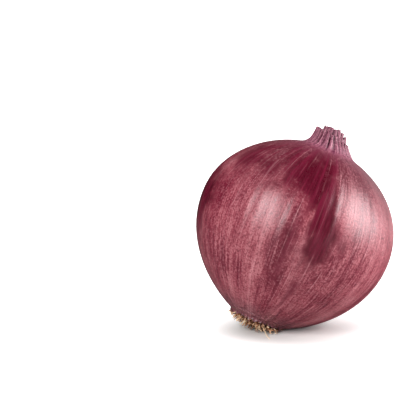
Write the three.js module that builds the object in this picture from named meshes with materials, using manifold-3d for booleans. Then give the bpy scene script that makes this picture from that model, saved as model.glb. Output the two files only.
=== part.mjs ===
// A red onion as picked and dried: one bulb with its cut neck, the root plate under it,
// and the dry roots that grow out of the plate. It rests tilted, on a small flat spot
// of its lower flank beside the root plate.
// Millimetres, +Z up. The origin is the middle of that flat spot.

import * as THREE from "three";
import { mergeVertices } from "three/addons/utils/BufferGeometryUtils.js";
import Module from "manifold-3d";

const wasm = await Module();
wasm.setup();

// ---- Driving dimensions: millimetres, and degrees where a name says so ----

// The bulb's own axis runs from the root plate (below) to the neck (above), and its
// heights are counted from the widest place.
const bulb = {
  radius: 38,
  shoulderHeight: 32.9, // half-height of the ellipse that the shoulders follow
  flankDepth: 41, // depth at which the lower flanks would meet on the axis
  flankPower: 2.09,
  flankRoundness: 0.655,
  baseHeight: -37.9, // the cut of the flanks on which the root plate sits
  shoulderShift: 0.5, // how far the fuller shoulder pushes the crown sideways
  shiftFrom: 5, // the push grows between these two heights
  shiftTo: 28,
};

// A bulb is never quite round: waves around it, as shares of its radius.
const lobes = [
  { waves: 2, share: 0.004, phase: 0.6 },
  { waves: 3, share: 0.003, phase: 2.1 },
];

const neck = {
  rimRadius: 6.2,
  footRadius: 10.2,
  footHeight: 31.8,
  flare: 3, // distance over which the foot narrows to the rim
  blend: 1.8, // rounding between the shoulders and the neck
  rimHeight: 38.2,
  tipHeight: 40.4,
  hollow: 0.9, // how far the middle of the crown sinks below its tip
  folds: 24,
  foldDepth: 0.7,
  foldsFrom: -1, // the folds grow between these two heights over the foot
  foldsTo: 2.5,
  lean: -1, // sideways drift of the tip from the foot
};

// The dry sheaths inside the rim close over the top in a low crumpled crown: its rings
// as shares of the rim's radius and of the rise from the rim to the tip.
const crown = [
  { inwards: 0.84, upwards: 0.3 },
  { inwards: 0.66, upwards: 0.72 },
  { inwards: 0.42, upwards: 1 },
  { inwards: 0.18, upwards: 0.82 },
];

// The torn rim of the neck goes up and down around it.
const rimWaves = [
  { waves: 2, height: 0.4, phase: 2.6 },
  { waves: 7, height: 0.3, phase: 1.1 },
];

const plate = {
  radius: 10.6,
  gap: 0.3, // between the plate and the bulb above it
  rimThickness: 0.4,
  dome: 1, // how much thicker the plate is in its middle
  floorClearance: 0.35,
};

const root = {
  seats: 60, // places for roots on the plate
  spread: 9.9, // radius of the patch on the plate where roots start
  gap: 0.3,
  length: 3, // of a root in the middle of the plate
  rimShortening: 0.62, // share of it that a root at the rim lacks
  leastRoom: 0.55, // a seat closer to the floor than this has no root
  baseRadius: 0.46,
  tipRadius: 0.22,
  splay: 0.6, // how far a root at the rim leans outwards, per unit of its length
  curl: 0.35,
  lengthSpread: 0.22, // how much longer or shorter than usual a root may be
  floorClearance: 0.3,
  sides: 7,
  steps: 6,
};

const pose = {
  leanSideDegrees: 22.5, // the neck leans towards +X
  leanBackDegrees: 10, // and towards +Y
  flatDepth: 0.8, // how much of the flank the flat spot takes away
};

const mesh = { around: 96, flankRings: 17, shoulderRings: 10, neckRings: 7, plateRings: 5 };

const skinFinish = { color: 0x7d2f44, roughness: 0.45, metalness: 0 };
const plateFinish = { color: 0x6b4628, roughness: 0.95, metalness: 0 };
const rootFinish = { color: 0xb98a58, roughness: 0.9, metalness: 0 };

// ---- The bulb's outline ----

// Distance from the axis to the skin of the body at a height, without the neck.
function bodyRadius(height) {
  if (height > 0) {
    const share = Math.min(1, height / bulb.shoulderHeight);
    return bulb.radius * Math.sqrt(1 - share * share);
  }
  const share = Math.min(1, -height / bulb.flankDepth);
  return bulb.radius * (1 - share ** bulb.flankPower) ** bulb.flankRoundness;
}

// Distance from the axis to the neck's wall, which narrows as it rises from its foot.
function neckRadius(height) {
  const rise = Math.max(0, height - neck.footHeight) / neck.flare;
  return neck.rimRadius + (neck.footRadius - neck.rimRadius) * Math.exp(-rise);
}

// The larger of two lengths, with a rounded change from one to the other.
function roundedMax(a, b, rounding) {
  const overlap = Math.max(rounding - Math.abs(a - b), 0) / rounding;
  return Math.max(a, b) + (overlap * overlap * rounding) / 4;
}

function skinRadius(height) {
  if (height < 0) return bodyRadius(height);
  return roundedMax(bodyRadius(height), neckRadius(height), neck.blend);
}

function smoothStep(low, high, value) {
  const share = THREE.MathUtils.clamp((value - low) / (high - low), 0, 1);
  return share * share * (3 - 2 * share);
}

// Rings from the base to the crumpled tip: distance from the axis, and height.
function outlineRings() {
  const rings = [];
  const lowest = Math.asin(-bulb.baseHeight / bulb.flankDepth);
  rings.push({ radius: skinRadius(bulb.baseHeight) * 0.5, height: bulb.baseHeight });
  for (let i = 0; i <= mesh.flankRings; i++) {
    const height = -bulb.flankDepth * Math.sin(lowest * (1 - i / mesh.flankRings));
    rings.push({ radius: skinRadius(height), height });
  }
  const highest = Math.asin((neck.footHeight - 1) / bulb.shoulderHeight);
  for (let i = 1; i <= mesh.shoulderRings; i++) {
    const height = bulb.shoulderHeight * Math.sin((highest * i) / mesh.shoulderRings);
    rings.push({ radius: skinRadius(height), height });
  }
  const foot = rings[rings.length - 1].height;
  for (let i = 1; i <= mesh.neckRings; i++) {
    const height = foot + ((neck.rimHeight - foot) * i) / mesh.neckRings;
    rings.push({ radius: skinRadius(height), height });
  }
  const rise = neck.tipHeight - neck.rimHeight;
  for (const { inwards, upwards } of crown) {
    const radius = skinRadius(neck.rimHeight) * inwards;
    rings.push({ radius, height: neck.rimHeight + rise * upwards });
  }
  return rings;
}

// Folds of the neck around it: rounded pleats with sharp creases between them, some
// deeper than others.
function foldWave(turn) {
  const depth = 1 + 0.35 * Math.sin(3 * turn + 0.7) + 0.25 * Math.sin(7 * turn + 2);
  return depth * (Math.abs(Math.sin((neck.folds / 2) * turn)) - 0.6);
}

// Pleats are of unequal width, so the turn around the neck is stretched in places.
const unevenAngle = (turn) =>
  turn + 0.08 * Math.sin(3 * turn + 0.7) + 0.035 * Math.sin(5 * turn);

const sumOver = (list, term) => list.reduce((total, item) => total + term(item), 0);

// How far the bulb's axis is pushed aside at a height, along the bulb's own X.
function sidewaysShift(height) {
  const shoulder = smoothStep(bulb.shiftFrom, bulb.shiftTo, height);
  const tip = smoothStep(neck.footHeight, neck.tipHeight, height);
  return bulb.shoulderShift * shoulder + neck.lean * tip;
}

// A point of the bulb's skin, on the bulb's own axis.
function skinPoint(turn, { radius, height }) {
  const angle = unevenAngle(turn);
  const swelling = Math.max(0, 1 - (height / bulb.shoulderHeight) ** 2);
  const lobed = sumOver(lobes, (l) => l.share * Math.cos(l.waves * angle + l.phase));
  const foldFoot = neck.footHeight + neck.foldsFrom;
  const folded = smoothStep(foldFoot, neck.footHeight + neck.foldsTo, height);
  const narrow = Math.min(1, radius / neck.rimRadius);
  const fold = neck.foldDepth * foldWave(turn) * folded * narrow;
  const reach = radius * (1 + lobed * swelling) + fold;
  const torn = sumOver(rimWaves, (w) => w.height * Math.sin(w.waves * angle + w.phase));
  const nearRim = smoothStep(neck.rimHeight - 2, neck.rimHeight, height) * narrow;
  return new THREE.Vector3(
    reach * Math.cos(angle) + sidewaysShift(height),
    reach * Math.sin(angle),
    height + torn * nearRim,
  );
}

// ---- Closed surfaces and solids ----

// A closed surface through rings of points, each end closed on one middle point.
function ringSurface(rings, firstMiddle, lastMiddle) {
  const around = rings[0].length;
  const points = [firstMiddle, ...rings.flat(), lastMiddle];
  const last = points.length - 1;
  const triangles = [];
  const at = (ring, step) => 1 + ring * around + (step % around);
  for (let step = 0; step < around; step++) {
    triangles.push(0, at(0, step + 1), at(0, step));
    for (let ring = 0; ring + 1 < rings.length; ring++) {
      const [a, b] = [at(ring, step), at(ring, step + 1)];
      const [c, d] = [at(ring + 1, step + 1), at(ring + 1, step)];
      triangles.push(a, b, c, a, c, d);
    }
    triangles.push(last, at(rings.length - 1, step), at(rings.length - 1, step + 1));
  }
  const geometry = new THREE.BufferGeometry().setFromPoints(points);
  geometry.setIndex(triangles);
  return geometry;
}

function solidFrom(geometry) {
  const bare = geometry.clone();
  bare.deleteAttribute("normal");
  bare.deleteAttribute("uv");
  const merged = mergeVertices(bare, 1e-4);
  return new wasm.Manifold(
    new wasm.Mesh({
      numProp: 3,
      vertProperties: merged.getAttribute("position").array,
      triVerts: new Uint32Array(merged.index.array),
    }),
  );
}

function geometryFrom(solid) {
  const { vertProperties, triVerts } = solid.getMesh();
  const geometry = new THREE.BufferGeometry();
  geometry.setAttribute("position", new THREE.BufferAttribute(vertProperties, 3));
  geometry.setIndex(new THREE.BufferAttribute(triVerts, 1));
  geometry.computeVertexNormals();
  return geometry;
}

function namedMesh(name, geometry, finish) {
  const made = new THREE.Mesh(geometry, new THREE.MeshStandardMaterial(finish));
  made.name = name;
  return made;
}

// ---- The bulb, tilted and set down on its flat spot ----

function bulbSurface() {
  const outline = outlineRings();
  const rings = outline.map((ring) =>
    Array.from({ length: mesh.around }, (_, step) =>
      skinPoint((2 * Math.PI * step) / mesh.around, ring),
    ),
  );
  const base = new THREE.Vector3(0, 0, bulb.baseHeight);
  const tip = new THREE.Vector3(
    sidewaysShift(neck.tipHeight),
    0,
    neck.tipHeight - neck.hollow,
  );
  return ringSurface(rings, base, tip);
}

// The turn from the bulb's own axis to the row's frame, without its place.
const tilt = new THREE.Matrix4()
  .makeRotationX(THREE.MathUtils.degToRad(-pose.leanBackDegrees))
  .multiply(
    new THREE.Matrix4().makeRotationY(THREE.MathUtils.degToRad(pose.leanSideDegrees)),
  );

const turned = (geometry, matrix) => geometry.clone().applyMatrix4(matrix);

// What is left of a geometry above a height over the floor.
function keptAbove(geometry, height) {
  const size = 4 * bulb.radius;
  const block = new THREE.BoxGeometry(size, size, size);
  block.translate(0, 0, height - size / 2);
  return geometryFrom(solidFrom(geometry).subtract(solidFrom(block)));
}

// Lowers the turned bulb until the floor takes the depth of the flat spot off it, then
// brings the middle of that spot to the origin.
function restingPlace(surface) {
  const tilted = turned(surface, tilt);
  tilted.computeBoundingBox();
  const drop = -tilted.boundingBox.min.z - pose.flatDepth;
  const lowered = new THREE.Matrix4().makeTranslation(0, 0, drop).multiply(tilt);
  const points = keptAbove(turned(surface, lowered), 0).getAttribute("position");
  const spot = new THREE.Box3();
  const point = new THREE.Vector3();
  for (let i = 0; i < points.count; i++) {
    point.fromBufferAttribute(points, i);
    if (point.z < 1e-4) spot.expandByPoint(point);
  }
  const middle = spot.getCenter(new THREE.Vector3());
  return new THREE.Matrix4()
    .makeTranslation(-middle.x, -middle.y, 0)
    .multiply(lowered);
}

const uncutBulb = bulbSurface();
const place = restingPlace(uncutBulb);
const restingBulb = () => keptAbove(turned(uncutBulb, place), 0);

// ---- The root plate and its roots ----

const plateTop = bulb.baseHeight - plate.gap;
const plateUnderside = (distance) =>
  plateTop - plate.rimThickness - plate.dome * (1 - (distance / plate.radius) ** 2);

function rootPlate() {
  const profile = [];
  for (let i = 0; i <= mesh.plateRings; i++) {
    const distance = (plate.radius * i) / mesh.plateRings;
    profile.push(new THREE.Vector2(distance, plateUnderside(distance)));
  }
  profile.push(new THREE.Vector2(plate.radius, plateTop));
  profile.push(new THREE.Vector2(0, plateTop));
  const disc = new THREE.LatheGeometry(profile, 40).rotateX(Math.PI / 2);
  return keptAbove(turned(disc, place), plate.floorClearance);
}

// Roots start on a sunflower pattern, so that they stay apart, and splay and curl
// outwards. One that comes down to the floor bends and lies along it. The result is
// empty for a seat with no room over the floor.
function rootPath(seat) {
  const goldenAngle = Math.PI * (3 - Math.sqrt(5));
  const angle = seat * goldenAngle;
  const distance = root.spread * Math.sqrt((seat + 0.5) / root.seats);
  const outwards = new THREE.Vector3(Math.cos(angle), Math.sin(angle), 0);
  const sideways = new THREE.Vector3(-Math.sin(angle), Math.cos(angle), 0);
  const start = outwards.clone().multiplyScalar(distance);
  start.z = plateUnderside(distance) - root.gap;
  const lowest = root.baseRadius + root.floorClearance;
  if (start.clone().applyMatrix4(place).z < lowest + root.leastRoom) return [];
  const uneven = 1 + root.lengthSpread * Math.sin(5.3 * seat + 1);
  const length = root.length * uneven * (1 - root.rimShortening * (distance / root.spread) ** 2);
  const splay = (root.splay * distance) / root.spread;
  const points = [];
  for (let step = 0; step <= root.steps; step++) {
    const share = step / root.steps;
    const curl = root.curl * Math.sin(2.6 * share + 2.1 * seat) * share;
    const point = start
      .clone()
      .addScaledVector(outwards, splay * length * share ** 1.4)
      .addScaledVector(sideways, curl);
    point.z -= length * share * (1 - 0.25 * share * splay);
    point.applyMatrix4(place);
    point.z = Math.max(point.z, lowest);
    points.push(point);
  }
  return points;
}

function rootTube(points) {
  const curve = new THREE.CatmullRomCurve3(points);
  const frames = curve.computeFrenetFrames(root.steps, false);
  const rings = [];
  for (let step = 0; step <= root.steps; step++) {
    const share = step / root.steps;
    const middle = curve.getPointAt(share);
    const thickness = THREE.MathUtils.lerp(root.baseRadius, root.tipRadius, share);
    const ring = [];
    for (let side = 0; side < root.sides; side++) {
      const angle = (2 * Math.PI * side) / root.sides;
      ring.push(
        middle
          .clone()
          .addScaledVector(frames.normals[step], thickness * Math.cos(angle))
          .addScaledVector(frames.binormals[step], thickness * Math.sin(angle)),
      );
    }
    rings.push(ring);
  }
  return ringSurface(rings, curve.getPointAt(0), curve.getPointAt(1));
}

// ---- The onion ----

const onion = new THREE.Group();
onion.add(namedMesh("bulb", restingBulb(), skinFinish));
onion.add(namedMesh("root_plate", rootPlate(), plateFinish));
const seats = Array.from({ length: root.seats }, (_, seat) => rootPath(seat));
const rootPaths = seats.filter((path) => path.length > 0);
rootPaths.forEach((path, index) => {
  const name = "root_" + String(index + 1).padStart(2, "0");
  onion.add(namedMesh(name, rootTube(path), rootFinish));
});

export default onion;
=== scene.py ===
import math

import bpy
import numpy as np
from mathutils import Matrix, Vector


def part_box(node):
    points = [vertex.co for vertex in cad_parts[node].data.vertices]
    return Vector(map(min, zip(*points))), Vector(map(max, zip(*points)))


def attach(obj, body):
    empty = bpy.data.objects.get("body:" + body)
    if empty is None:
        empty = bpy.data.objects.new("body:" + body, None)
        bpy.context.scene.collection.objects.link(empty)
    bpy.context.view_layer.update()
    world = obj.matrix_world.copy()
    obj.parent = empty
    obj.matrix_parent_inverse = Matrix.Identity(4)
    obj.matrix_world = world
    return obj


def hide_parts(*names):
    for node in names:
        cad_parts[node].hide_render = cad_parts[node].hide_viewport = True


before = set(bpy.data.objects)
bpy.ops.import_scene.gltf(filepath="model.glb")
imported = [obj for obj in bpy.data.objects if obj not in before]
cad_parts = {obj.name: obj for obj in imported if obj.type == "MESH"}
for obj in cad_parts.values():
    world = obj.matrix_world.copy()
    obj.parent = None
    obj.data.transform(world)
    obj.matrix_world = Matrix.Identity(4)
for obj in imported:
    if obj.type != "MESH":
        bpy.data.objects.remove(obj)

mm = 0.001
tau = 2 * math.pi
scene = bpy.context.scene
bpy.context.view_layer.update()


# 0 to 1 while the value goes from low to high, level at both ends
def smoothStep(low, high, value):
    share = np.clip((value - low) / (high - low), 0, 1)
    return share * share * (3 - 2 * share)


def mix(a, b, share):
    return a + (b - a) * share


# 0 to 1 in a straight line while the value goes from -width to width
def slope(width, value):
    return np.clip(0.5 + 0.5 * value / width, 0, 1)


def grid(*parts):
    return np.stack(np.broadcast_arrays(*parts), -1)


# points at a radius from an upright axis, which may be shifted along X
def around(radius, angle, height, shift=0.0):
    return grid(radius * np.cos(angle) + shift, radius * np.sin(angle), height)


# shares that go from 0 to 1 and back again, and a mark on those of the way back
def thereAndBack(count):
    share = np.linspace(0, 1, count)
    return np.concatenate([share, share[::-1]])[:, None], np.repeat([0, 1], count)[:, None]


# periodic wobble around a turn: cosines of whole numbers of waves, each with its own
# weight and random phase, scaled to about -1..1
def wobble(turn, seed, waves, falloff=0.5):
    rng = np.random.default_rng(seed)
    total = np.zeros_like(turn)
    for count in waves:
        total = total + rng.normal() * count ** -falloff * np.cos(
            tau * (count * turn + rng.random()))
    return total / math.sqrt(sum(count ** (-2 * falloff) for count in waves))


tearSlope = 0.004  # share of a turn that a torn edge's short slopes reach to each side
tearSamples = 7
frayFalloff = 0.2  # low, so that the fine waves of a frayed edge stay strong


# height of a torn edge around a turn, -1..1: strips of uneven width with one random
# height each, and short slopes between them
def tornEdge(turn, seed, strips):
    rng = np.random.default_rng(seed)
    edges = np.sort(rng.random(strips))
    heights = rng.uniform(-1, 1, strips)
    total = np.zeros_like(turn)
    for shift in np.linspace(-tearSlope, tearSlope, tearSamples):
        total = total + heights[np.searchsorted(edges, (turn + shift) % 1) % strips]
    return total / tearSamples


# a mesh from one or more grids of points (grids, rings, columns, 3); columns join up
# around, and the rings either end on the given middle points or join up as well
def gridPiece(name, points, firstMiddle=None, lastMiddle=None, attributes=None, loop=False):
    points = points.reshape(-1, *points.shape[-3:])
    count, rings, columns = points.shape[:3]
    size = rings * columns
    top = size - columns
    step = np.arange(columns)
    after = (step + 1) % columns
    low = np.arange(rings if loop else rings - 1)[:, None] * columns
    high = (low + columns) % size
    quads = np.stack([low + step, low + after, high + after, high + step], -1)
    vertices = [points.reshape(count, -1, 3)]
    ends = [np.zeros((0, 3), int)]
    for middle, one, other in ((firstMiddle, after, step), (lastMiddle, top + step, top + after)):
        if middle is not None:
            vertices.append(np.reshape(middle, (count, 1, 3)))
            ends.append(np.stack([np.full(columns, size), one, other], -1))
            size += 1
    starts = np.arange(count)[:, None, None] * size
    quads = (quads.reshape(1, -1, 4) + starts).reshape(-1, 4)
    ends = (np.concatenate(ends)[None] + starts).reshape(-1, 3)
    return meshPiece(name, np.concatenate(vertices, 1).reshape(-1, 3), quads, ends, attributes)


# a mesh from vertices, quads and triangles; where an attribute has fewer values than
# there are vertices, its last value goes to the rest
def meshPiece(name, vertices, quads, triangles, attributes):
    mesh = bpy.data.meshes.new(name)
    corners = np.concatenate([quads.ravel(), triangles.ravel()])
    sizes = np.repeat([4, 3], [len(quads), len(triangles)])
    mesh.vertices.add(len(vertices))
    mesh.vertices.foreach_set("co", vertices.astype(np.float32).ravel())
    mesh.loops.add(len(corners))
    mesh.loops.foreach_set("vertex_index", corners.astype(np.int32))
    mesh.polygons.add(len(sizes))
    mesh.polygons.foreach_set("loop_start", (np.cumsum(sizes) - sizes).astype(np.int32))
    mesh.polygons.foreach_set("use_smooth", np.ones(len(sizes), bool))
    mesh.update(calc_edges=True)
    for key, values in (attributes or {}).items():
        spare = len(vertices) - len(values)
        if spare:
            values = np.concatenate([values, np.repeat(values[-1:], spare, 0)])
        kind, field = ("FLOAT_VECTOR", "vector") if values.ndim == 2 else ("FLOAT", "value")
        layer = mesh.attributes.new(key, kind, "POINT")
        layer.data.foreach_set(field, values.astype(np.float32).ravel())
    mesh.validate()
    piece = bpy.data.objects.new(name, mesh)
    scene.collection.objects.link(piece)
    return piece


def unit(vectors):
    return vectors / np.linalg.norm(vectors, axis=-1, keepdims=True)


# tubes carried along paths (tubes, steps, 3) with radii (tubes, steps): each ring is a
# circle across the path, set out from the path's direction and one sideways vector
def tubePoints(paths, radii, sideways, sides):
    ahead = unit(np.gradient(paths, axis=1))
    first = unit(np.cross(ahead, sideways))
    second = np.cross(ahead, first)
    angle = (np.arange(sides) * tau / sides)[:, None]
    across = np.cos(angle) * first[:, :, None] + np.sin(angle) * second[:, :, None]
    return paths[:, :, None] + radii[:, :, None, None] * across


# one mesh that holds many closed tubes, each with a point at both ends
def tubesPiece(name, points, paths, attributes):
    spread = {}
    for key, values in attributes.items():
        whole = np.repeat(values, points.shape[2], 1)
        spread[key] = np.concatenate([whole, values[:, :1], values[:, -1:]], 1).ravel()
    return gridPiece(name, points, paths[:, :1], paths[:, -1:], spread)


# a node's output socket that takes part in sums
class Signal:
    def __init__(self, net, socket):
        self.net = net
        self.socket = socket

    def __add__(self, other):
        return self.net.sum("ADD", self, other)

    def __sub__(self, other):
        return self.net.sum("SUBTRACT", self, other)

    def __rsub__(self, other):
        return self.net.sum("SUBTRACT", other, self)

    def __mul__(self, other):
        return self.net.sum("MULTIPLY", self, other)

    def __abs__(self):
        return self.net.sum("ABSOLUTE", self)

    __radd__ = __add__
    __rmul__ = __mul__


class ShaderNet:
    def __init__(self, tree):
        self.tree = tree
        tree.nodes.clear()

    # any node: its settings first, then values or links for its sockets
    def node(self, kind, settings=None, inputs=None):
        made = self.tree.nodes.new(kind)
        for key, value in (settings or {}).items():
            if key == "stops":
                self.setStops(made.color_ramp, value)
            else:
                setattr(made, key, value)
        for key, value in (inputs or {}).items():
            if isinstance(value, Signal):
                self.tree.links.new(value.socket, made.inputs[key])
            else:
                made.inputs[key].default_value = value
        return made

    def setStops(self, ramp, stops):
        while len(ramp.elements) > 1:
            ramp.elements.remove(ramp.elements[-1])
        for index, (place, colour) in enumerate(stops):
            element = ramp.elements[0] if index == 0 else ramp.elements.new(place)
            element.position = place
            element.color = (*colour, 1)

    def out(self, made, key=0):
        return Signal(self, made.outputs[key])

    # a Math node with one or two inputs
    def sum(self, operation, a, b=None):
        inputs = {0: a} if b is None else {0: a, 1: b}
        return self.out(self.node("ShaderNodeMath", {"operation": operation}, inputs))

    # 0 at low, 1 at high, eased between; low may be the larger
    def ease(self, value, low, high):
        made = self.node("ShaderNodeMapRange", {"interpolation_type": "SMOOTHSTEP"},
                         {0: value, 1: low, 2: high})
        return self.out(made)

    def attribute(self, name, vector=False):
        made = self.node("ShaderNodeAttribute", {"attribute_name": name})
        return self.out(made, "Vector" if vector else "Fac")

    def place(self):
        return self.out(self.node("ShaderNodeTexCoord"), "Object")

    def ray(self, kind):
        return self.out(self.node("ShaderNodeLightPath"), kind)

    def parts(self, vector):
        made = self.node("ShaderNodeSeparateXYZ", None, {0: vector})
        return [self.out(made, key) for key in range(3)]

    def scaled(self, vector, factors, shift=(0, 0, 0)):
        made = self.node("ShaderNodeVectorMath", {"operation": "MULTIPLY_ADD"},
                         {0: vector, 1: factors, 2: shift})
        return self.out(made)

    def noise(self, vector, scale=1.0, detail=2.0, rough=0.5):
        made = self.node("ShaderNodeTexNoise", None, {
            "Vector": vector, "Scale": scale, "Detail": detail, "Roughness": rough})
        return self.out(made, "Fac")

    def cells(self, vector, scale):
        made = self.node("ShaderNodeTexVoronoi", None, {"Vector": vector, "Scale": scale})
        return self.out(made, "Distance")

    def ramp(self, value, stops):
        return self.out(self.node("ShaderNodeValToRGB", {"stops": stops}, {0: value}))

    # colours as a Mix node takes them, with a fourth number where they have three
    def blend(self, share, a, b):
        four = [(*c, 1) if isinstance(c, tuple) else c for c in (a, b)]
        made = self.node("ShaderNodeMix", {"data_type": "RGBA"},
                         {0: share, 6: four[0], 7: four[1]})
        return self.out(made, 2)

    def bump(self, height, distance, strength=1.0):
        made = self.node("ShaderNodeBump", None, {
            "Height": height, "Distance": distance, "Strength": strength})
        return self.out(made, "Normal")

    def surface(self, colour, rough, specular, others):
        shader = self.node("ShaderNodeBsdfPrincipled", None, {
            "Base Color": colour, "Roughness": rough, "Specular IOR Level": specular, **others})
        self.node("ShaderNodeOutputMaterial", None, {"Surface": self.out(shader)})


def newMaterial(name):
    material = bpy.data.materials.new(name)
    material.use_nodes = True
    return material, ShaderNet(material.node_tree)


# gives a piece its material and body, and hides the nodes that it replaces; the slot is not used
def dress(piece, material, slot, *nodes):
    piece.data.materials.append(material)
    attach(piece, "root")
    if nodes:
        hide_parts(*nodes)


pose = {
    "leanSide": math.radians(22.5),  # the neck leans towards +X
    "leanBack": math.radians(10),  # and towards +Y
    "flatDepth": 0.8 * mm,  # what the flat spot takes off the flank
}

sideCos, sideSin = math.cos(pose["leanSide"]), math.sin(pose["leanSide"])
backCos, backSin = math.cos(pose["leanBack"]), math.sin(pose["leanBack"])
tilt = np.array([
    [sideCos, 0, sideSin],
    [-backSin * sideSin, backCos, backSin * sideCos],
    [-backCos * sideSin, -backSin, backCos * sideCos],
])

# the bulb's own frame: its axis upright, heights counted from its widest place
bulb = {
    "radius": 38 * mm,
    "shoulderHeight": 32.9 * mm,
    "flankDepth": 41 * mm,
    "flankPower": 2.09,
    "flankRoundness": 0.655,
    "baseHeight": -37.9 * mm,
    "shoulderShift": 0.5 * mm,
    "shiftFrom": 5 * mm,
    "shiftTo": 28 * mm,
    "lobes": ((2, 0.004, 0.6), (3, 0.003, 2.1)),  # waves around, share of the radius, phase
    "columns": 512, "wallRings": 164, "crownRings": 22,
    "ringSpacing": 0.86,  # below 1, rings stand closer together on the neck
    "boxColumns": 96, "boxRings": 90,
}

# faint ribs along the skin; each set has a seed, waves around, a falloff and a weight
ribs = {
    "height": 0.05 * mm,
    "sets": ((5, (5, 7, 11, 16, 23), 0.5, 1.5), (6, (31, 43, 59, 74), 0.3, 0.6)),
}

neck = {
    "rimRadius": 6.2 * mm, "footRadius": 10.2 * mm, "footHeight": 31.8 * mm,
    "flare": 3 * mm, "blend": 1.8 * mm,
    "rimHeight": 37.2 * mm,
    "rimSlope": 1.1 * mm,  # how much lower the rim is on the side it leans to
    "rimReach": 3.5 * mm,  # how far below the rim the wall follows its torn edge
    "tipHeight": 40.4 * mm,
    "folds": 26, "foldSeed": 11, "foldDepth": 0.75 * mm,
    "foldsFrom": -4 * mm,  # counted from the foot's height, like the three after it
    "foldsTo": 2 * mm,
    "pinkFrom": -2 * mm, "pinkTo": 1.5 * mm,
    "foldsLost": 0.5,  # share of their depth that is gone at the funnel's bottom
    "lean": -1 * mm,
    "torn": 0.75 * mm,
    "tears": (23, 13),  # seed and number
    "frayed": 0.3 * mm,
    "fray": (21, (21, 34, 55, 89), frayFalloff),  # seed, waves around and falloff
    "funnel": 5 * mm, "funnelPower": 1.3,
    "lip": 0.3 * mm,  # the edge rises by this before it turns down
    "lipSteepness": 5,
    "closing": ((0.16, 0.4), (0.5, 2)),  # weights and powers of the way into the funnel
}

pleatShape = {
    "wander": ((0.011, (2, 3, 5)), (0.004, (7, 9, 13))),  # share of a turn, waves around
    "depthSpread": 0.35,
    "depthWaves": (3, 5, 8, 11),
    "middle": 0.6,  # close to the mean of an absolute sine
    "creaseFrom": 0.35,
}


# the bulb's slight departure from round, as a share of its radius
def lobes(angle, height):
    total = sum(size * np.cos(waves * angle + phase) for waves, size, phase in bulb["lobes"])
    return total * np.clip(1 - (height / bulb["shoulderHeight"]) ** 2, 0, 1)


# how far the axis bends aside at the shoulder and in the neck
def axisShift(height):
    return (bulb["shoulderShift"] * smoothStep(bulb["shiftFrom"], bulb["shiftTo"], height)
            + neck["lean"] * smoothStep(neck["footHeight"], neck["tipHeight"], height))


# distance of the skin from the axis: an ellipse above the widest place, a superellipse
# below it, and over them the neck's wall, which narrows exponentially from its foot;
# the larger of the two counts, with a rounded change between them
def skinRadius(height):
    above = np.sqrt(1 - np.clip(height / bulb["shoulderHeight"], 0, 1) ** 2)
    depth = np.clip(-height / bulb["flankDepth"], 0, 1)
    below = (1 - depth ** bulb["flankPower"]) ** bulb["flankRoundness"]
    body = bulb["radius"] * np.where(height > 0, above, below)
    rise = np.maximum(height - neck["footHeight"], 0) / neck["flare"]
    wall = mix(neck["rimRadius"], neck["footRadius"], np.exp(-rise))
    overlap = np.maximum(neck["blend"] - np.abs(body - wall), 0) / neck["blend"]
    joined = np.maximum(body, wall) + overlap ** 2 * neck["blend"] / 4
    return np.where(height < 0, body, joined)


# pleats: the absolute sine gives rounded pleats with sharp creases between them; the
# turn is stretched so that they have unequal widths, and a wobble gives unequal depths
def pleats(turn, folds, seed):
    uneven = turn
    for index, (reach, waves) in enumerate(pleatShape["wander"]):
        uneven = uneven + reach * wobble(turn, seed + index, waves)
    depth = 1 + pleatShape["depthSpread"] * wobble(turn, seed + 2, pleatShape["depthWaves"])
    return depth * (np.abs(np.sin(math.pi * folds * uneven)) - pleatShape["middle"])


# close to 1 deep in a crease and 0 on the back of a pleat
def creaseOf(pleat):
    return np.clip(pleatShape["creaseFrom"] - pleat, 0, 1)


# faint ribs along the meridians: cosines around the turn, fading towards both ends
def fluting(turn, height):
    fade = np.clip(1 - (height / bulb["flankDepth"]) ** 2, 0, 1)
    total = sum(weight * wobble(turn, seed, waves, falloff)
                for seed, waves, falloff, weight in ribs["sets"])
    return ribs["height"] * total * fade


# the bulb's place: its box's middle agrees with the solid's across the floor, and its
# lowest point goes under the floor by the depth of the flat spot
def findBulbPlace():
    angle = np.linspace(0, tau, bulb["boxColumns"], endpoint=False)[None, :]
    height = np.linspace(bulb["baseHeight"], neck["footHeight"], bulb["boxRings"])[:, None]
    reach = skinRadius(height) * (1 + lobes(angle, height))
    points = around(reach, angle, height, axisShift(height)) @ tilt.T
    low, high = points.min((0, 1)), points.max((0, 1))
    boxLow, boxHigh = (np.array(corner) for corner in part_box("bulb"))
    place = (boxLow + boxHigh) / 2 - (low + high) / 2
    place[2] = -low[2] - pose["flatDepth"]
    return place


# from the bulb's own frame to the floor's, and no lower than the given height
def toFloor(points, least=0.0):
    moved = points @ tilt.T + bulbPlace
    moved[..., 2] = np.maximum(moved[..., 2], least)
    return moved


flowRadius = 30 * mm


# what the skin's material reads: a point on a fixed cylinder for patterns that run along the
# meridians, the height, how far a point is in a crease, on the neck, how much painted shade it takes
# inside the neck and on inner sides (which also carries the fringe's brown edge), and how far the
# outer skin is missing, with painted shade along the left edge
def skinData(angle, height, crease, neckShare, shadeAndBrown, peelAndShade):
    flow = around(flowRadius, angle, height)
    shape = flow.shape[:2]
    spread = {"along": height, "crease": crease, "neckShare": neckShare,
              "shadeAndBrown": shadeAndBrown, "peelAndShade": peelAndShade}
    data = {key: np.broadcast_to(value, shape).ravel() for key, value in spread.items()}
    data["flow"] = flow.reshape(-1, 3)
    return data
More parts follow.
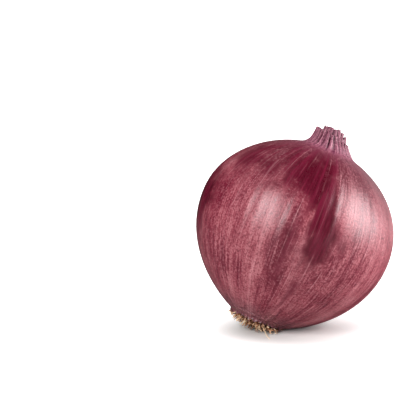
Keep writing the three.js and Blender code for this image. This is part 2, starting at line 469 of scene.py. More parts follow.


# strips where the dull outer skin is missing and the dark one under it shows, and one along the left
# edge that is painted shade: the two meridians between which one lies (degrees), its lower and upper
# end (millimetres), its strength, and how far its ends (millimetres) and its sides (degrees) fade out
peelAndShadeStrips = [
    ((-114, -80), (15, 26), 1.5, 9, 6),
    ((-136, -110), (19, 26), 1.1, 10, 8),
    ((-166, -98), (10, 26), 0.72, 9, 12),
    ((-95, -77), (8, 22), 1.4, 7, 4),
    ((-88, -76), (0, 14), 1.4, 6, 3),
    ((-86, -70), (-9, 5), 1.3, 10, 4),
    ((-71, -59), (-4, 3), 0.65, 6, 4),
    ((-102, -84), (-16, 4), 0.6, 12, 6),
    ((-86, -72), (-34, -8), 0.32, 6, 6),
    ((-80, -66), (19, 28), 0.6, 8, 7),
    # painted shade: this strip darkens the left edge as a neighbouring onion would by its shade and
    # reflection
    ((-196, -152), (-14, 12), 0.95, 12, 9),
    ((-129, -122), (-15, -7), 0.5, 8, 3),
    ((-57, -51), (-19, -11), 0.5, 8, 3),
    ((-43, -37), (-28, -22), 0.5, 7, 3),
    ((58, 96), (-4, 19), 0.95, 13, 2),
    ((94, 110), (3, 12), 0.7, 9, 2),
    ((10, 24), (-16, 8), 0.6, 14, 6),
    ((138, 162), (10, 24), 0.8, 11, 6),
]


# how the sides of a strip wander: degrees, the height of a wave and a step of its phase
# from strip to strip
peelWander = ((2.2, 6 * mm, 1), (0.9, 2.3 * mm, 2))


# the strength inside a strip and 0 outside: the product of a slope at each side, with
# sides that wander a little, and a slope at each end; the strongest strip counts, up to 1
def peelAndShadeMask(angle, height):
    total = np.zeros(np.broadcast_shapes(angle.shape, height.shape))
    for index, ((low, high), ends, strength, fade, soft) in enumerate(peelAndShadeStrips):
        bottom, top = (end * mm for end in ends)
        offset = (np.degrees(angle) - (low + high) / 2 + 180) % 360 - 180
        wander = sum(size * np.sin(height / pitch + step * index) for size, pitch, step in peelWander)
        side = slope(soft, (high - low) / 2 - np.abs(offset + wander))
        lower, upper = slope(fade * mm, height - bottom), slope(fade * mm, top - height)
        total = np.maximum(total, strength * side * lower * upper)
    return np.minimum(total, 1)


# the skin: the radius profile turned about the axis, with lobes, ribs and pleats; over
# the neck's torn rim it turns in and goes down a funnel to the middle
def bulbSurface():
    turn = np.arange(bulb["columns"])[None, :] / bulb["columns"]
    angle = tau * turn
    wall = bulb["wallRings"]
    share = np.linspace(0, 1, wall) ** bulb["ringSpacing"]
    over = np.linspace(0, 1, bulb["crownRings"] + 1)[1:, None]
    lip = neck["lip"] * np.sin(math.pi * np.clip(over * neck["lipSteepness"], 0, 1))
    drop = neck["funnel"] * over ** neck["funnelPower"] - lip
    height = np.concatenate([
        mix(bulb["baseHeight"], neck["rimHeight"], share)[:, None], neck["rimHeight"] - drop])
    closing = 1
    for weight, power in neck["closing"]:
        closing = closing - weight * over ** power
    radius = skinRadius(height)
    radius[wall:] = skinRadius(np.full_like(over, neck["rimHeight"])) * np.clip(closing, 0, 1)
    foot = neck["footHeight"]
    folded = smoothStep(foot + neck["foldsFrom"], foot + neck["foldsTo"], height)
    folded[wall:] *= 1 - neck["foldsLost"] * over
    nearRim = smoothStep(neck["rimHeight"] - neck["rimReach"], neck["rimHeight"], height)
    nearRim[wall:] = 1 - over
    # painted shade that deepens down the funnel
    shadeAndBrown = np.zeros_like(height)
    shadeAndBrown[wall:] = over ** 0.5
    pleat = pleats(turn, neck["folds"], neck["foldSeed"])
    rim = (neck["torn"] * tornEdge(turn, *neck["tears"]) - neck["rimSlope"] * np.cos(angle)
           + neck["frayed"] * wobble(turn, *neck["fray"]))
    reach = (radius * (1 + lobes(angle, height)) + neck["foldDepth"] * pleat * folded
             + fluting(turn, height))
    points = around(reach, angle, height + rim * nearRim, axisShift(height))
    neckShare = smoothStep(foot + neck["pinkFrom"], foot + neck["pinkTo"], height)
    return points, skinData(angle, height, creaseOf(pleat) * folded, neckShare, shadeAndBrown,
                            peelAndShadeMask(angle, height))


# dry leaf sheaths that stand inside one another in the neck, from the outside inwards:
# radii at rim and foot, height and torn edge in millimetres, number of folds, seed
sheaths = {
    "neckSheathOuter": (5.2, 6.6, 38.3, 0.8, 21, 61),
    "neckSheathMiddle": (3.9, 5.2, 39.6, 0.7, 16, 64),
    "neckSheathInner": (2.5, 3.7, 40.2, 0.6, 11, 67),
    "neckSheathHeart": (1.1, 2.0, 39.4, 0.5, 6, 70),
}

sheathShape = {
    "footHeight": 32 * mm,
    "thickness": 0.32 * mm,
    "thinning": 0.5,  # share of the thickness that is gone at the rim
    "foldDepth": 0.5 * mm,
    "fullFolds": 4,  # rim radius in millimetres below which the folds get shallower
    "tears": 9,
    "frayed": 0.2 * mm,
    "frayWaves": (13, 21, 34),
    "rimPower": 3,
    # the inner side gets painted shade, as the funnel does
    "innerShade": 0.75,  # how far the inner side counts as the funnel
    "columns": 224, "rings": 22,
}


# a sheath: a wall that narrows in a straight line from its foot to its torn rim, pleated
# all the way, up on the outside and down again on the inside
def sheathSurface(rimRadius, footRadius, top, torn, folds, seed):
    turn = np.arange(sheathShape["columns"])[None, :] / sheathShape["columns"]
    angle = tau * turn
    share, within = thereAndBack(sheathShape["rings"])
    height = mix(sheathShape["footHeight"], top * mm, share)
    pleat = pleats(turn, folds, seed)
    fray = wobble(turn, seed + 6, sheathShape["frayWaves"], frayFalloff)
    rim = (torn * mm * tornEdge(turn, seed + 5, sheathShape["tears"])
           + sheathShape["frayed"] * fray)
    depth = sheathShape["foldDepth"] * min(1, rimRadius / sheathShape["fullFolds"])
    thin = sheathShape["thickness"] * within * (1 - sheathShape["thinning"] * share)
    reach = mix(footRadius, rimRadius, share) * mm + depth * pleat - thin
    rise = rim * share ** sheathShape["rimPower"]
    points = around(reach, angle, height + rise, axisShift(height))
    return points, skinData(angle, height, creaseOf(pleat), 1.0,
                            within * sheathShape["innerShade"], 0.0)


bulbPlace = findBulbPlace()
print("bulb's widest place is centred at", (bulbPlace / mm).round(2), "mm")

skinLook = {
    "wine": (0.14, 0.006, 0.022),
    "rose": (0.22, 0.03, 0.05),
    "mauve": (0.3, 0.062, 0.083),
    "dusty": (0.4, 0.125, 0.148),
    "pale": (0.66, 0.28, 0.31),
    "deep": (0.062, 0.0004, 0.008),
    "deepLight": (0.115, 0.003, 0.019),
    # painted shade: the upper bulb's darker colour stands in for the dim light above it
    "top": (0.085, 0.01, 0.021),
    "neckPink": (0.38, 0.135, 0.195),
    "neckShade": (0.17, 0.03, 0.07),
    # painted shade in the neck's creases
    "neckCreaseShade": (0.085, 0.004, 0.03),
    # painted shade for the funnel and the sheaths' inner sides; on the fringe the same colour also
    # gives its dry brown edge
    "funnel": (0.05, 0.018, 0.015),
    "rootEnd": (0.12, 0.055, 0.07),
}

# noise stretched along the meridians: its width across them in millimetres, how many
# times longer than wide it is, its seed, detail and roughness
streakLook = {
    "bands": (7, 9, 3, 2, 0.5),
    "streaks": (2, 14, 11, 3, 0.5),
    "fibres": (0.55, 14, 17, 2, 0.6),
}

# lines along the meridians: how many, how wide in millimetres, the stretched noises that
# push them aside and that say where they show, and from where to where they do
veinLook = {
    "veins": {"lines": 46, "width": 0.45, "push": (9, 7, 29, 1, 0.5),
              "where": (4, 3, 37, 2, 0.5), "shown": (0.5, 0.68)},
    "fineVeins": {"lines": 118, "width": 0.3, "push": (9, 7, 53, 1, 0.5),
                  "where": (3, 4, 59, 2, 0.5), "shown": (0.45, 0.65)},
}

veinPush = 7  # radians of a wave
veinEdge = (1.6, 0.3)  # a line fades in between these shares of its width

# where the colour changes along the axis, how uneven the border is, and how strongly
zones = {
    # painted shade: the top is darkened where little light reaches it
    "upper": {"from": 12 * mm, "to": 27 * mm, "uneven": 14 * mm, "strength": 0.85},
    "rootEnd": {"from": -31 * mm, "to": -38 * mm, "uneven": 8 * mm, "strength": 0.6},
    "shoulder": {"from": 25 * mm, "to": 33 * mm, "uneven": 6 * mm, "strength": 0.35},
}

# sizes and weights of the patterns, and the limits between which they change
skinMix = {
    "grainSize": 0.75 * mm, "blotchSize": 12 * mm, "patchSize": 5 * mm,
    "bandTone": 1.3, "streakTone": 1.1, "toneOffset": 1.69,
    "deepFibres": 0.6, "deepLimits": (0.38, 0.68),
    "edgeStreaks": 1.4, "edgeFibres": 0.9, "edgePatches": 1.1, "edgeLimits": (0.15, 0.8),
    "edgeShare": 0.8, "peelShare": 0.2, "peelLimits": (0.02, 0.35),
    "veinTone": 0.42, "fineVeinTone": 0.3, "fineVeinsAtRoots": 0.5, "veinsLost": 0.7,
    "neckLimits": (0.3, 0.7), "creaseShadeLimits": (0.2, 0.75),
    "flecksAndSheen": 0.22, "flecksAndSheenFibres": 0.3, "flecksAndSheenLimits": (0.45, 0.7),
    "pits": 0.5, "pitsLost": 0.9, "pitLimits": (0.52, 0.32),
    "rough": 0.39, "smoother": 0.1, "grainRough": 0.3, "grainLost": 0.8,
    "streakRough": 0.1, "neckRough": 0.2,
    "streakRelief": 0.3, "fibreRelief": 0.4, "veinRelief": 0.2, "grainRelief": 0.9,
    "relief": 0.12 * mm, "reliefStrength": 0.7,
}


# the outer skin's colour is a ramp over the sum of bands, streaks, fibres and blotches, with painted
# shade making it darker towards the top; where the peel attribute, roughened by the same patterns, is
# high, the deep skin takes over, and along the left edge the same stands as painted shade; then come
# the root end, pale veins, the shoulder and the neck, painted shade in the creases, pale flecks that
# are partly painted sheen, dark grains, and painted shade in the funnel, each blended over the last
def skinMaterial():
    material, net = newMaterial("onionSkin")
    flow = net.attribute("flow", True)
    along, crease, neckShare, shadeAndBrown, peelAndShade = map(
        net.attribute, ("along", "crease", "neckShare", "shadeAndBrown", "peelAndShade"))
    weigh = skinMix

    def streak(width, stretch, seed, detail, rough):
        across = 1 / (width * mm)
        return net.noise(net.scaled(flow, (across, across, across / stretch),
                                    (seed, seed * 2.3, seed * 0.7)), 1.0, detail, rough)

    # a line lies where the sine of a whole multiple of the angle, pushed aside by slow
    # noise, passes through nought
    def veinLines(look):
        x, y, _ = net.parts(flow)
        push = (streak(*look["push"]) - 0.5) * veinPush
        wave = net.sum("SINE", net.sum("ARCTAN2", y, x) * (look["lines"] // 2) + push)
        width = look["width"] * mm / bulb["radius"] * look["lines"] / 4
        line = net.ease(abs(wave), width * veinEdge[0], width * veinEdge[1])
        return line * net.ease(streak(*look["where"]), *look["shown"])

    # 0 to 1 along the axis, with a border that a pattern makes uneven
    def zone(name, pattern):
        look = zones[name]
        return net.ease(along + (pattern - 0.5) * look["uneven"], look["from"], look["to"])

    bands = streak(*streakLook["bands"])
    streaks = streak(*streakLook["streaks"])
    fibres = streak(*streakLook["fibres"])
    grain = net.noise(net.place(), 1 / weigh["grainSize"], 2, 0.65)
    blotches = net.noise(net.place(), 1 / weigh["blotchSize"], 3)
    patches = net.noise(net.place(), 1 / weigh["patchSize"], 2)
    veins = veinLines(veinLook["veins"])
    fineVeins = veinLines(veinLook["fineVeins"])

    tone = (bands * weigh["bandTone"] + streaks * weigh["streakTone"] + fibres + blotches
            - weigh["toneOffset"])
    colour = net.ramp(tone, [
        (0.15, skinLook["wine"]), (0.38, skinLook["rose"]),
        (0.6, skinLook["mauve"]), (0.95, skinLook["dusty"])])
    # painted shade: darker towards the top
    upper = zone("upper", blotches)
    colour = net.blend(upper * zones["upper"]["strength"], colour, skinLook["top"])

    deepShare = net.ease(streaks + (fibres - 0.5) * weigh["deepFibres"], *weigh["deepLimits"])
    deepTone = net.blend(deepShare, skinLook["deep"], skinLook["deepLight"])
    # the deep skin shows where the outer skin is missing, and along the left edge as painted shade
    edge = (peelAndShade + (streaks - 0.5) * weigh["edgeStreaks"] + (fibres - 0.5) * weigh["edgeFibres"]
            + (patches - 0.5) * weigh["edgePatches"])
    missingAndShade = (net.ease(edge, *weigh["edgeLimits"]) * net.ease(peelAndShade, *weigh["peelLimits"])
               * weigh["edgeShare"] + peelAndShade * weigh["peelShare"])
    colour = net.blend(missingAndShade, colour, deepTone)

    rootEnd = zone("rootEnd", streaks)
    colour = net.blend(rootEnd * zones["rootEnd"]["strength"], colour, skinLook["rootEnd"])
    veinTone = (veins * weigh["veinTone"]
                + fineVeins * (rootEnd * weigh["fineVeinsAtRoots"] + weigh["fineVeinTone"]))
    colour = net.blend(veinTone * (1 - missingAndShade * weigh["veinsLost"]), colour, skinLook["pale"])
    neckTone = net.blend(net.ease(streaks + (fibres - 0.5), *weigh["neckLimits"]),
                         skinLook["neckShade"], skinLook["neckPink"])
    shoulder = zone("shoulder", streaks)
    colour = net.blend(shoulder * zones["shoulder"]["strength"], colour, skinLook["neckShade"])
    colour = net.blend(neckShare, colour, neckTone)
    # painted shade: the colour is darkened deep in the creases
    colour = net.blend(net.ease(crease, *weigh["creaseShadeLimits"]), colour, skinLook["neckCreaseShade"])
    # pale flecks: partly the skin's own mottling, partly painted sheen that imitates its pearly glints
    flecksAndSheen = net.ease(grain + (fibres - 0.5) * weigh["flecksAndSheenFibres"], *weigh["flecksAndSheenLimits"])
    colour = net.blend(flecksAndSheen * (1 - missingAndShade) * weigh["flecksAndSheen"], colour, skinLook["pale"])
    pits = net.ease(grain, *weigh["pitLimits"]) * (1 - missingAndShade * weigh["pitsLost"])
    colour = net.blend(pits * weigh["pits"], colour, skinLook["deep"])
    # painted shade down the funnel and on inner sides; on the fringe also its brown edge
    colour = net.blend(shadeAndBrown, colour, skinLook["funnel"])

    # smoother where the outer skin is missing, rougher on the neck
    rough = (weigh["rough"] - missingAndShade * weigh["smoother"]
             + (grain - 0.5) * (1 - missingAndShade * weigh["grainLost"]) * weigh["grainRough"]
             + (streaks - 0.5) * weigh["streakRough"] + neckShare * weigh["neckRough"])
    relief = (streaks * weigh["streakRelief"] + fibres * weigh["fibreRelief"]
              + veins * weigh["veinRelief"] + grain * weigh["grainRelief"] * (1 - missingAndShade))
    normal = net.bump(relief, weigh["relief"], weigh["reliefStrength"])
    net.surface(colour, rough, 0.6, {"Normal": normal})
    return material


onionSkin = skinMaterial()
skinPoints, skinValues = bulbSurface()
bulbPiece = gridPiece(
    "bulbSkin", toFloor(skinPoints), toFloor(np.array([[0, 0, bulb["baseHeight"]]])),
    toFloor(skinPoints[-1].mean(0)[None]), skinValues)
dress(bulbPiece, onionSkin, "onion_skin", "bulb")
for name, look in sheaths.items():
    sheathPoints, sheathValues = sheathSurface(*look)
    piece = gridPiece(name, toFloor(sheathPoints), attributes=sheathValues, loop=True)
    dress(piece, onionSkin, "onion_skin")
print("skin and neck done,", len(bulbPiece.data.polygons), "faces on the bulb")

plate = {
    "radius": 10.6 * mm,
    "gap": 0.3 * mm,
    "rimThickness": 0.4 * mm,
    "dome": 1 * mm,
    "floorClearance": 0.35 * mm,
    "lumps": 0.3 * mm,
    "columns": 160, "rings": 60,
    "roundness": 0.8,
    "uneven": 0.03,
    "outline": (81, (3, 5, 8, 13, 21, 34), 0.4),  # seed, waves around and falloff
    "coarseLumps": (82, 2.2 * mm),  # seed and size
    "fineLumps": (83, 0.9 * mm),
    "fineShare": 0.6,
    "lumpWaves": 7,
    "lumpSpread": (0.6, 1.7),
}

plateTop = bulb["baseHeight"] - plate["gap"]


# height of the dome under the plate, lowest in its middle
def underside(distance):
    return plateTop - plate["rimThickness"] - plate["dome"] * (1 - (distance / plate["radius"]) ** 2)


# sum of sines across the plate in several directions: low, rounded lumps
def lumps(x, y, seed, size):
    rng = np.random.default_rng(seed)
    total = 0
    for _ in range(plate["lumpWaves"]):
        direction = rng.random() * tau
        pitch = size * rng.uniform(*plate["lumpSpread"])
        total = total + np.sin(tau / pitch * (x * math.cos(direction) + y * math.sin(direction))
                               + rng.random() * tau)
    return total / math.sqrt(plate["lumpWaves"])


# the plate: a flat top, a rounded rim and a domed, lumpy underside, from the middle of
# the top outwards over the rim and back to the middle of the underside
def plateSurface():
    angle = np.arange(plate["columns"])[None, :] * tau / plate["columns"]
    share = np.linspace(0, 1, plate["rings"] + 2)[1:-1, None]
    distance = plate["radius"] * np.sin(math.pi * share) ** plate["roundness"]
    distance = distance * (1 + plate["uneven"] * wobble(angle / tau, *plate["outline"]))
    x, y = distance * np.cos(angle), distance * np.sin(angle)
    lump = plate["lumps"] * (lumps(x, y, *plate["coarseLumps"])
                             + plate["fineShare"] * lumps(x, y, *plate["fineLumps"]))
    below = underside(np.minimum(distance, plate["radius"])) + lump
    height = np.where(share > 0.5, below, plateTop)
    return grid(x, y, height), {"lump": np.broadcast_to(lump / plate["lumps"], x.shape).ravel()}


plateLook = {
    "dark": (0.02, 0.006, 0.003),
    "brown": (0.07, 0.024, 0.01),
    "tan": (0.2, 0.095, 0.045),
    "pale": (0.4, 0.25, 0.13),
    "flakeSize": 0.8 * mm, "grainSize": 0.35 * mm,
    "lumpTone": 0.25, "grainTone": 0.9, "flakeTone": 0.3,
    "grainRelief": 0.7, "relief": 0.2 * mm,
}


# dry crust: lumps and grain lighten it, and the middles of the flakes are lighter than
# their borders
def plateMaterial():
    material, net = newMaterial("plateCrust")
    place = net.place()
    lump = net.attribute("lump")
    flakes = net.cells(place, 1 / plateLook["flakeSize"])
    grain = net.noise(place, 1 / plateLook["grainSize"], 3, 0.6)
    tone = net.ease(lump * plateLook["lumpTone"] + grain * plateLook["grainTone"]
                    - flakes * plateLook["flakeTone"], 0.0, 0.75)
    colour = net.ramp(tone, [(0, plateLook["dark"]), (0.4, plateLook["brown"]),
                             (0.75, plateLook["tan"]), (1, plateLook["pale"])])
    normal = net.bump(grain * plateLook["grainRelief"] + flakes, plateLook["relief"], 0.9)
    net.surface(colour, 0.7 + (grain - 0.5) * 0.2, 0.3, {"Normal": normal})
    return material


platePoints, plateValues = plateSurface()
platePiece = gridPiece(
    "rootPlate", toFloor(platePoints, plate["floorClearance"]),
    toFloor(np.array([[0, 0, plateTop]])),
    toFloor(np.array([[0, 0, underside(0)]]), plate["floorClearance"]), plateValues)
dress(platePiece, plateMaterial(), "root_plate", "root_plate")
print("root plate done")

root = {
    "seats": 60,
    "spread": 9.9 * mm,
    "gap": 0.3 * mm,
    "length": 3 * mm,
    "lengthSpread": 0.22,
    "lengthStep": 5.3,  # radians from seat to seat
    "rimShortening": 0.62,
    "leastRoom": 0.55 * mm,
    "baseRadius": 0.46 * mm, "tipRadius": 0.22 * mm,
    "splay": 0.6, "splayPower": 1.4,
    "rise": 0.25,  # how much less a splayed root goes down
    "curl": 0.35 * mm,
    "curlTurn": 2.6,  # radians along a root
    "curlStep": 2.1,  # radians from seat to seat
    "shrivel": ((0.12, 19, 1), (0.08, 43, 3)),  # size, radians along a root and a seat
    "shadeSeed": 7,
    "floorClearance": 0.3 * mm,
    "sides": 10, "steps": 18,
}

rootLowest = root["floorClearance"] + root["baseRadius"]
goldenAngle = math.pi * (3 - math.sqrt(5))


# seats on a sunflower spiral; a root goes down and outwards, bends sideways by a sine,
# and lies on the floor where it would go lower; seats with too little room stay empty
def rootPaths():
    seat = np.arange(root["seats"])
    angle = seat * goldenAngle
    distance = root["spread"] * np.sqrt((seat + 0.5) / root["seats"])
    outwards = around(1, angle, 0)
    sideways = grid(-np.sin(angle), np.cos(angle), 0)
    start = outwards * distance[:, None]
    start[:, 2] = underside(distance) - root["gap"]
    length = root["length"] * (1 + root["lengthSpread"] * np.sin(root["lengthStep"] * seat + 1))
    length = length * (1 - root["rimShortening"] * (distance / root["spread"]) ** 2)
    splay = root["splay"] * distance / root["spread"]
    share = np.linspace(0, 1, root["steps"])[None, :, None]
    column = (slice(None), None, None)
    bend = np.sin(root["curlTurn"] * share + root["curlStep"] * seat[column]) * share
    path = (start[:, None] + outwards[:, None] * (splay * length)[column] * share ** root["splayPower"]
            + sideways[:, None] * root["curl"] * bend)
    path[..., 2:] -= length[column] * share * (1 - root["rise"] * share * splay[column])
    room = toFloor(start, -1)[:, 2] >= rootLowest + root["leastRoom"]
    return toFloor(path[room], rootLowest), (sideways @ tilt.T)[room], seat[room]


rootLook = {
    "dark": (0.03, 0.005, 0.001),
    "brown": (0.2, 0.06, 0.015),
    "tan": (0.56, 0.27, 0.15),
    "cream": (0.98, 0.74, 0.48),
    "grainSize": 0.3 * mm, "spotSize": 1.3 * mm, "relief": 0.1 * mm,
    "shareTone": 0.75, "shadeTone": 0.75, "grainTone": 0.6, "spotTone": 1.1, "toneOffset": 0.24,
}


# lighter towards a root's tip and by the root's own shade, with fine grain and spots
def rootMaterial():
    material, net = newMaterial("dryRoot")
    place = net.place()
    share = net.attribute("share")
    shade = net.attribute("shade")
    grain = net.noise(place, 1 / rootLook["grainSize"], 3, 0.6)
    spots = net.noise(place, 1 / rootLook["spotSize"], 2)
    tone = (share * rootLook["shareTone"] + shade * rootLook["shadeTone"]
            + (grain - 0.5) * rootLook["grainTone"] + (spots - 0.5) * rootLook["spotTone"]
            - rootLook["toneOffset"])
    colour = net.ramp(tone, [(0.05, rootLook["dark"]), (0.32, rootLook["brown"]),
                             (0.58, rootLook["tan"]), (0.9, rootLook["cream"])])
    normal = net.bump(grain, rootLook["relief"], 0.8)
    net.surface(colour, 0.62 + (grain - 0.5) * 0.2, 0.35, {"Normal": normal})
    return material


# each root is a tube whose radius shrinks to its tip and shrivels in rings
def makeRoots():
    paths, sideways, seats = rootPaths()
    share = np.broadcast_to(np.linspace(0, 1, root["steps"]), paths.shape[:2])
    shrivel = 1
    for size, turn, step in root["shrivel"]:
        shrivel = shrivel + size * np.sin(turn * share + step * seats[:, None])
    radii = mix(root["baseRadius"], root["tipRadius"], share) * shrivel
    radii = np.minimum(radii, root["baseRadius"])
    points = tubePoints(paths, radii, sideways[:, None], root["sides"])
    rng = np.random.default_rng(root["shadeSeed"])
    shade = np.broadcast_to(rng.random(len(paths))[:, None], share.shape)
    for index in range(len(paths)):
        own = slice(index, index + 1)
        piece = tubesPiece("dryRoot%02d" % (index + 1), points[own], paths[own],
                           {"share": share[own], "shade": shade[own]})
        dress(piece, dryRoot, "dry_root", "root_%02d" % (index + 1))
    return len(paths)


rootlets = {
    "count": 470,
    "seed": 23,
    "spread": 10.4 * mm,
    "sunk": 0.2 * mm,  # how far they start inside the plate
    "length": (1.3 * mm, 4.9 * mm),
    "rimShortening": 0.8,  # at the rim on the short side
    "longSide": math.radians(-62),  # where even those at the rim are long
    "splay": (0.35, 1.1),  # on the short side, and what the long side adds
    "scatter": 0.8,
    "drop": (0.35, 1.3),
    "radius": (0.12 * mm, 0.3 * mm),
    "taper": 0.6,
    "curl": (0.15 * mm, 0.5 * mm),
    "turns": (0.5, 1.4),
    "shadePower": 1.6,  # above 1, more of them are dark
    "steps": 8, "sides": 5,
    "lowest": 0.4 * mm,
    "surfaceLowest": 0.05 * mm,
}

# these keep a sideways vector from lying along a rootlet's line and along its path
offLine = 0.01
offPath = 0.001


# short broken rootlets: each starts at a random place under the plate, goes off in a
# random slant, and winds around its own line in a widening curl
def rootletPaths():
    rng = np.random.default_rng(rootlets["seed"])
    count = rootlets["count"]
    column = (slice(None), None, None)
    angle = rng.random(count) * tau
    distance = rootlets["spread"] * np.sqrt(rng.random(count))
    outwards = around(1, angle, 0)
    start = outwards * distance[:, None]
    start[:, 2] = underside(np.minimum(distance, plate["radius"])) + rootlets["sunk"]
    favour = 0.5 + 0.5 * np.cos(angle - rootlets["longSide"])
    least, more = rootlets["splay"]
    splay = (least + more * favour) * distance / rootlets["spread"]
    slant = rng.normal(0, rootlets["scatter"], (count, 3)) + outwards * splay[:, None]
    slant[:, 2] = -rng.uniform(*rootlets["drop"], count)
    slant = unit(slant)
    length = rng.uniform(*rootlets["length"], count)
    shorter = rootlets["rimShortening"] * (1 - favour)
    length = length * (1 - shorter * (distance / rootlets["spread"]) ** 2)
    first = unit(np.cross(slant, outwards + offLine))
    second = np.cross(slant, first)
    share = np.linspace(0, 1, rootlets["steps"])[None, :, None]
    phase = rng.random(count)[column] + share * rng.uniform(*rootlets["turns"], count)[column]
    curl = rng.uniform(*rootlets["curl"], count)[column] * share
    wind = np.cos(tau * phase) * first[:, None] + np.sin(tau * phase) * second[:, None]
    path = start[:, None] + slant[:, None] * length[column] * share + curl * wind
    return toFloor(path, rootlets["lowest"]), first @ tilt.T, rng


# the rootlets' tubes in one mesh, thinner towards their tips
def makeRootlets():
    paths, sideways, rng = rootletPaths()
    count = rootlets["count"]
    share = np.broadcast_to(np.linspace(0, 1, rootlets["steps"]), paths.shape[:2])
    radii = rng.uniform(*rootlets["radius"], count)[:, None] * (1 - rootlets["taper"] * share ** 2)
    points = tubePoints(paths, radii, sideways[:, None] + offPath, rootlets["sides"])
    points[..., 2] = np.maximum(points[..., 2], rootlets["surfaceLowest"])
    shade = np.broadcast_to(rng.random(count)[:, None] ** rootlets["shadePower"], share.shape)
    piece = tubesPiece("rootlets", points, paths, {"share": share, "shade": shade})
    dress(piece, dryRoot, "dry_root")


fringe = {
    "top": -36.6 * mm, "bottom": -39.0 * mm,
    "outset": 0.05 * mm,
    "least": 10.95 * mm,  # it clears the plate's rim
    "thickness": 0.25 * mm,
    "ragged": 0.6 * mm,
    "torn": 0.7, "tears": (33, 46),
    "frayed": 0.5, "fray": (34, (21, 34, 55, 89), frayFalloff),
    "looseness": 0.25 * mm, "loose": (35, (7, 13, 23, 41), 0.3),
    "brownSlope": 1.5, "brownOffset": 0.9, "brownSpots": 0.35, "brownest": 0.8,
    "spots": (36, (9, 17, 31, 57), frayFalloff),
    # painted shade on the inner side
    "innerShade": 0.9,
    "lowest": 0.15 * mm,
    "columns": 320, "rings": 10,
}


# a thin ring of torn skin that hangs round the plate: it leaves the flank, goes down past the plate's
# rim to a ragged edge, and comes up again on its inner side; it turns brown towards the edge, and its
# inner side is darkened with painted shade
def makeFringe():
    turn = np.arange(fringe["columns"])[None, :] / fringe["columns"]
    angle = tau * turn
    share, within = thereAndBack(fringe["rings"])
    edge = (fringe["torn"] * tornEdge(turn, *fringe["tears"])
            + fringe["frayed"] * wobble(turn, *fringe["fray"]))
    height = mix(fringe["top"], fringe["bottom"], share) + fringe["ragged"] * share * edge
    flank = skinRadius(height) * (1 + lobes(angle, height)) + fringe["outset"]
    loose = fringe["looseness"] * share * wobble(turn, *fringe["loose"])
    reach = np.maximum(flank, fringe["least"]) + loose - fringe["thickness"] * within
    points = around(reach, angle, height)
    spots = fringe["brownSpots"] * wobble(turn, *fringe["spots"])
    # brown towards the torn edge is the dry skin's own colour; the inner side gets painted shade
    shade = np.clip(share * fringe["brownSlope"] - fringe["brownOffset"] + spots,
                    0, fringe["brownest"])
    shade = np.maximum(shade, within * fringe["innerShade"])
    values = skinData(angle, height, 0.0, 0.0, shade, 0.0)
    piece = gridPiece("skinFringe", toFloor(points, fringe["lowest"]), attributes=values, loop=True)
    dress(piece, onionSkin, "onion_skin")


hair = {
    "knots": ((-9.6, -11.5, 2.2), (-9.4, -14.5, 1.5), (-9.1, -17.5, 1.0), (-8.6, -20.5, 0.45),
              (-7.7, -23.5, 0.3)),  # places on the floor and heights above it, in millimetres
    "radius": (0.2, 0.12),  # millimetres at its start and its tip
    "sideways": (1.0, 0.2, 0.1),
    "shade": 0.7,
    "steps": 20, "rounds": 3, "sides": 6,
}


# one long pale root hair that trails off the plate's near edge to the floor: a line
# through five points, smoothed a few times, thinner towards its tip
def makeHair():
    knots = np.array(hair["knots"]) * mm
    step = np.linspace(0, 1, hair["steps"])
    knotShare = np.linspace(0, 1, len(knots))
    path = np.stack([np.interp(step, knotShare, knots[:, axis]) for axis in range(3)], -1)
    for _ in range(hair["rounds"]):
        path[1:-1] = (path[:-2] + 2 * path[1:-1] + path[2:]) / 4
    radii = mix(*hair["radius"], step[None]) * mm
    points = tubePoints(path[None], radii, np.array(hair["sideways"]), hair["sides"])
    values = {"share": np.ones_like(radii), "shade": np.full_like(radii, hair["shade"])}
    dress(tubesPiece("rootHair", points, path[None], values), dryRoot, "dry_root")


dryRoot = rootMaterial()
print("roots done:", makeRoots())
makeRootlets()
makeFringe()
makeHair()
print("rootlets, fringe and hair done")

stage = {
    "floorRadius": 4.0, "floorRings": 24, "floorColumns": 96,
    "innermost": 0.02,
    "floorColour": (0.74, 0.72, 0.71),
    "floorDrop": 0.02 * mm,
    "glowShift": (1 * mm, 10 * mm, 0),  # the glow's middle lies this far left and in front
    "nearGlow": (0.01, 0.046, 0.95),  # from and to distance, strength
    "farGlow": (0.2, 0.9, 0.6),
    "mirroredShadeReach": (0.06, 0.25),  # where the mirrored floor turns from dark to pale, to the right
    "mirroredShadeColour": (0.06, 0.05, 0.05),
    "mirroredShadeFading": 0.75,
}


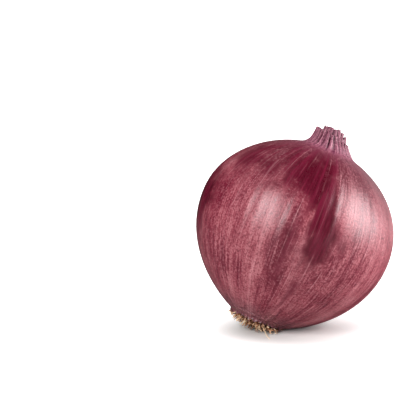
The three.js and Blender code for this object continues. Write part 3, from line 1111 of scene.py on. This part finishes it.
# a large disc; seen directly it glows more and more with the distance from a place near the onion, so
# that only the shadow shows; mirrored in the skin it is painted dark, a painted shade that stands in
# for a black flag beside it, and less so far to the right
def makeFloor():
    angle = np.linspace(0, tau, stage["floorColumns"], endpoint=False)[None, :]
    share = np.linspace(stage["innermost"], 1, stage["floorRings"])[::-1, None]
    radius = stage["floorRadius"] * share ** 2
    points = around(radius, angle, -stage["floorDrop"])
    floor = gridPiece("floor", points, None, np.array([0, 0, -stage["floorDrop"]]))
    material, net = newMaterial("paleFloor")
    moved = net.scaled(net.place(), (1, 1, 1), stage["glowShift"])
    distance = net.out(net.node("ShaderNodeVectorMath", {"operation": "LENGTH"},
                                {0: moved}), "Value")
    seen = net.ray("Is Camera Ray")
    near = net.ease(distance, *stage["nearGlow"][:2]) * stage["nearGlow"][2]
    far = net.ease(distance, *stage["farGlow"][:2]) * stage["farGlow"][2]
    glow = net.blend((near + far) * seen, (0.0, 0.0, 0.0), (1.0, 1.0, 1.0))
    # painted shade: the floor turns dark in the skin's reflections
    mirrored = net.ray("Is Glossy Ray")
    side = net.ease(net.parts(net.place())[0], *stage["mirroredShadeReach"])
    colour = net.blend(mirrored * (1 - side * stage["mirroredShadeFading"]),
                       stage["floorColour"], stage["mirroredShadeColour"])
    net.surface(colour, 0.9, 0.1, {"Emission Color": glow, "Emission Strength": 1.0})
    floor.data.materials.append(material)


backdrop = {
    "right": 0.9,  # the bright part's direction
    "back": 0.35,
    "spread": (0.3, 0.9),
    "rise": (0.4, 0.05),  # it ends between these heights
    "bright": 0.55, "dim": 0.02, "seen": 1.02,
}


# dim all round, brighter low down to the right and behind; white where it is seen directly
def makeWorld():
    world = bpy.data.worlds.new("studio")
    scene.world = world
    world.use_nodes = True
    net = ShaderNet(world.node_tree)
    direction = net.out(net.node("ShaderNodeTexCoord"), "Generated")
    right, back, up = net.parts(direction)
    side = net.ease(right * backdrop["right"] + back * backdrop["back"], *backdrop["spread"])
    level = side * net.ease(up, *backdrop["rise"]) * backdrop["bright"] + backdrop["dim"]
    seen = net.ray("Is Camera Ray")
    strength = level + seen * (backdrop["seen"] - level)
    shader = net.node("ShaderNodeBackground", None, {"Color": (1, 1, 1, 1), "Strength": strength})
    net.node("ShaderNodeOutputWorld", None, {"Surface": net.out(shader)})


# compass direction (0 behind, 90 right, 180 on the near side) and elevation in degrees,
# distance and size in metres, power in watts, and whether surfaces mirror the lamp
lamps = {
    "softFrontLeft": (216, 32, 1.2, (0.4, 0.75), 14, True),
    "softRight": (94, 17, 1.1, (0.8, 0.85), 22, True),
    "softAbove": (330, 72, 1.3, (1.3, 1.3), 16, False),
    "softRear": (28, 9, 1.3, (0.5, 0.5), 0.2, True),
}


# area lamps that face the bulb
def makeLamps():
    for name, (compass, elevation, distance, size, power, mirrored) in lamps.items():
        data = bpy.data.lights.new(name, "AREA")
        data.shape = "RECTANGLE"
        data.size, data.size_y = size
        data.energy = power
        lamp = bpy.data.objects.new(name, data)
        turn, rise = math.radians(compass), math.radians(elevation)
        direction = np.array([math.sin(turn) * math.cos(rise),
                              math.cos(turn) * math.cos(rise), math.sin(rise)])
        lamp.location = bulbPlace + direction * distance
        lamp.rotation_euler = Vector(direction).to_track_quat("Z", "Y").to_euler()
        lamp.visible_camera = False
        lamp.visible_glossy = mirrored
        scene.collection.objects.link(lamp)


makeFloor()
makeWorld()
makeLamps()

camera = {
    "elevation": math.radians(10),
    "distance": 0.8,
    "lens": 187.7, "sensor": 36, "clip": (0.01, 50),
    "aside": -36.6 * mm,  # how far the view's middle lies from the bulb's
    "above": 10.3 * mm,
}


def makeCamera():
    data = bpy.data.cameras.new("camera")
    data.sensor_width = camera["sensor"]
    data.lens = camera["lens"]
    data.clip_start, data.clip_end = camera["clip"]
    eye = bpy.data.objects.new("camera", data)
    cosine, sine = math.cos(camera["elevation"]), math.sin(camera["elevation"])
    eye.location = (bulbPlace + camera["aside"] * np.array([1, 0, 0])
                    + camera["above"] * np.array([0, sine, cosine])
                    + camera["distance"] * np.array([0, -cosine, sine]))
    eye.rotation_euler = (math.pi / 2 - camera["elevation"], 0, 0)
    scene.collection.objects.link(eye)
    scene.camera = eye


makeCamera()
scene.view_settings.view_transform = "Standard"
scene.view_settings.look = "None"
print("stage, lamps and camera done")
